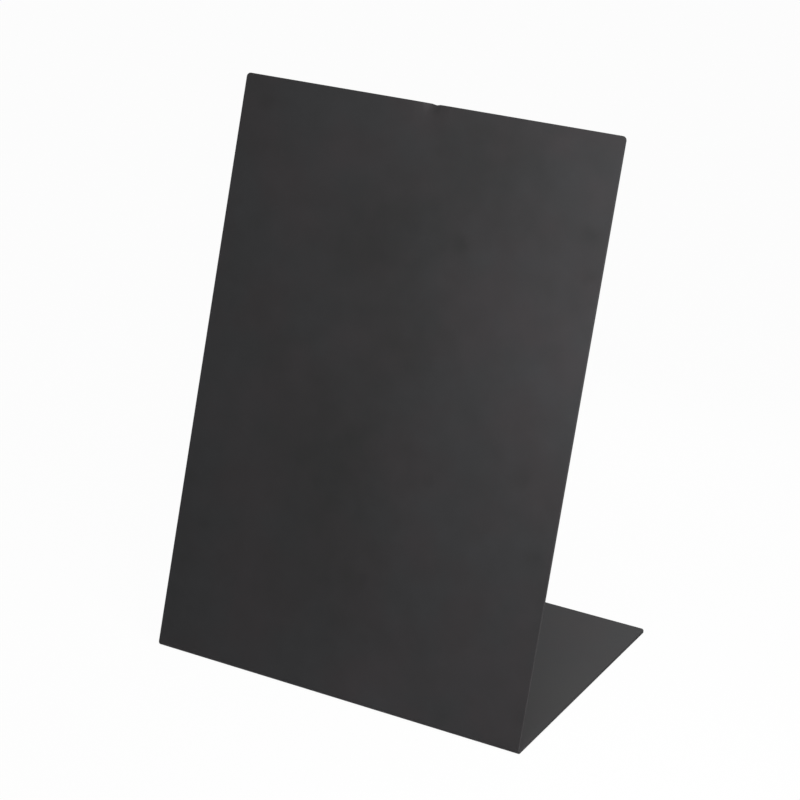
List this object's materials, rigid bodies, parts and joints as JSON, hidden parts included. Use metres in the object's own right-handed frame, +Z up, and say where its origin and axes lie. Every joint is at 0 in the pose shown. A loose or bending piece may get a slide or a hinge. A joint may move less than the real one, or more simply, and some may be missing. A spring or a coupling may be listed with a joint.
{
  "type": "metal chalkboard",
  "caption": "Freestanding chalkboard sign folded from coated sheet steel, with a portrait writing face that leans back over a flat foot.",
  "frame": {"origin": "middle of the footprint, on the surface that the foot stands on", "axes": "+X to the right for someone reading the face, +Y from the face towards the rear of the foot, +Z up"},
  "size_m": [0.148, 0.0994, 0.1989],
  "materials": {
    "chalkboard_coat": "matte black chalkboard coat on sheet steel"
  },
  "bodies": {
    "root": {"folded_board": "chalkboard_coat"}
  },
  "joints": []
}
